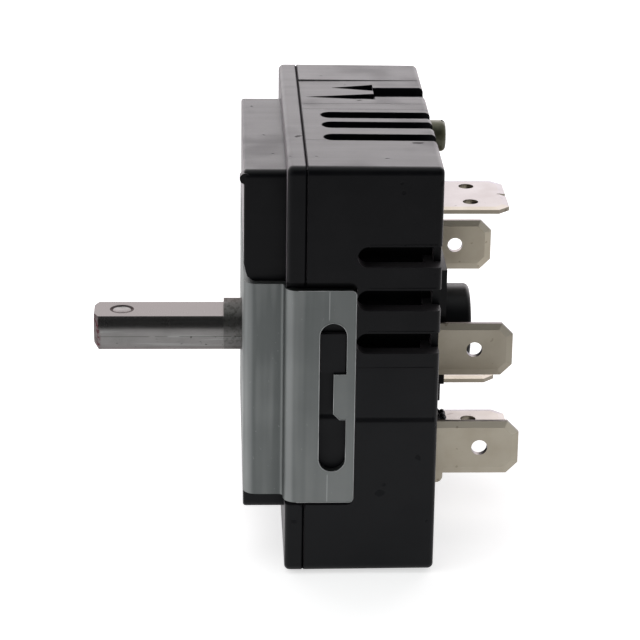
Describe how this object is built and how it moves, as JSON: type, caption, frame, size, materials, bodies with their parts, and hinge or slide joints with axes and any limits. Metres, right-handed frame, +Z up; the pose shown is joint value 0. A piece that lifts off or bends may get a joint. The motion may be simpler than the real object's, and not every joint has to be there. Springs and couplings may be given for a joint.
{
  "type": "infinite switch",
  "caption": "Rotary energy regulator for a cooker hotplate: black moulded housing, folded steel bracket, push-to-turn D-shaft and push-on blades at the rear.",
  "frame": {"origin": "on the shaft's axis, in the front face of the mounting bracket, midway between its two screw holes", "axes": "-Y along the shaft towards its tip, +Y towards the blades, +Z up, +X towards the side seen in the picture"},
  "size_m": [0.0428, 0.0482, 0.0473],
  "materials": {
    "housing_moulding": "satin black moulding",
    "cover_moulding": "satin black moulding",
    "rotor_moulding": "satin light moulding",
    "bracket_steel": "zinc-plated sheet",
    "shaft_steel": "turned steel",
    "lever_steel": "plain sheet steel",
    "spring_steel": "bright spring steel",
    "spring_bronze": "bright bronze",
    "bimetal": "rolled strip",
    "heater_ceramic": "unglazed white",
    "stud_ceramic": "unglazed white",
    "contact_silver": "bright silver alloy",
    "rivet_brass": "plain brass",
    "terminal_plate": "tin-plated sheet",
    "screw_lacquer": "olive lacquer"
  },
  "bodies": {
    "base": {"housing": "housing_moulding", "front_cover": "cover_moulding", "mounting_bracket": "bracket_steel", "lever_pivot_pin": "shaft_steel", "contact_arm_pin": "shaft_steel", "snap_spring": "spring_bronze", "main_fixed_contact": "contact_silver", "load_terminal": "terminal_plate", "second_load_terminal": "terminal_plate", "second_line_terminal": "terminal_plate", "pilot_supply_terminal": "terminal_plate", "pilot_lamp_terminal": "terminal_plate", "double_terminal": "terminal_plate", "line_blade": "spring_bronze", "line_moving_contact": "contact_silver", "line_fixed_contact": "contact_silver", "pilot_blade": "spring_bronze", "pilot_moving_contact": "contact_silver", "pilot_fixed_contact": "contact_silver", "blade_rivets": "rivet_brass", "detent_spring": "spring_steel", "calibration_screw": "screw_lacquer"},
    "rotor": {"cam_rotor": "rotor_moulding", "shaft_return_spring": "spring_steel"},
    "shaft": {"drive_shaft": "shaft_steel"},
    "lever": {"setting_lever": "lever_steel", "bimetal_strip": "bimetal", "bimetal_rivet": "rivet_brass", "heater_plate": "heater_ceramic", "heater_clips": "spring_steel", "push_stud": "stud_ceramic"},
    "contact": {"contact_arm": "spring_bronze", "main_moving_contact": "contact_silver"}
  },
  "joints": [
    {"name": "shaft_turn", "type": "hinge", "parent": "base", "child": "rotor", "pos_m": [0, 0, 0], "axis": [0, 1, 0], "range_deg": [0, 290], "deforming": ["line_blade", "pilot_blade", "detent_spring"]},
    {"name": "shaft_push", "type": "slide", "parent": "rotor", "child": "shaft", "axis": [0, 1, 0], "range_m": [0, 0.0015], "stiffness_N_per_m": 800, "springref_m": -0.003, "deforming": ["shaft_return_spring"]},
    {"name": "lever_swing", "type": "hinge", "parent": "base", "child": "lever", "pos_m": [-0.015, 0.01154, 0.011], "axis": [0, -1, 0], "range_deg": [0, 7.2]},
    {"name": "contact_snap", "type": "hinge", "parent": "base", "child": "contact", "pos_m": [0.005, 0.01244, 0.0185], "axis": [0, -1, 0], "range_deg": [0, 0.9], "stiffness_Nm_per_rad": 0.05, "springref_deg": -5.73, "deforming": ["snap_spring"]}
  ],
  "couplings": [
    {"joint": "lever_swing", "follows": "shaft_turn", "ratio": 0.024828}
  ]
}
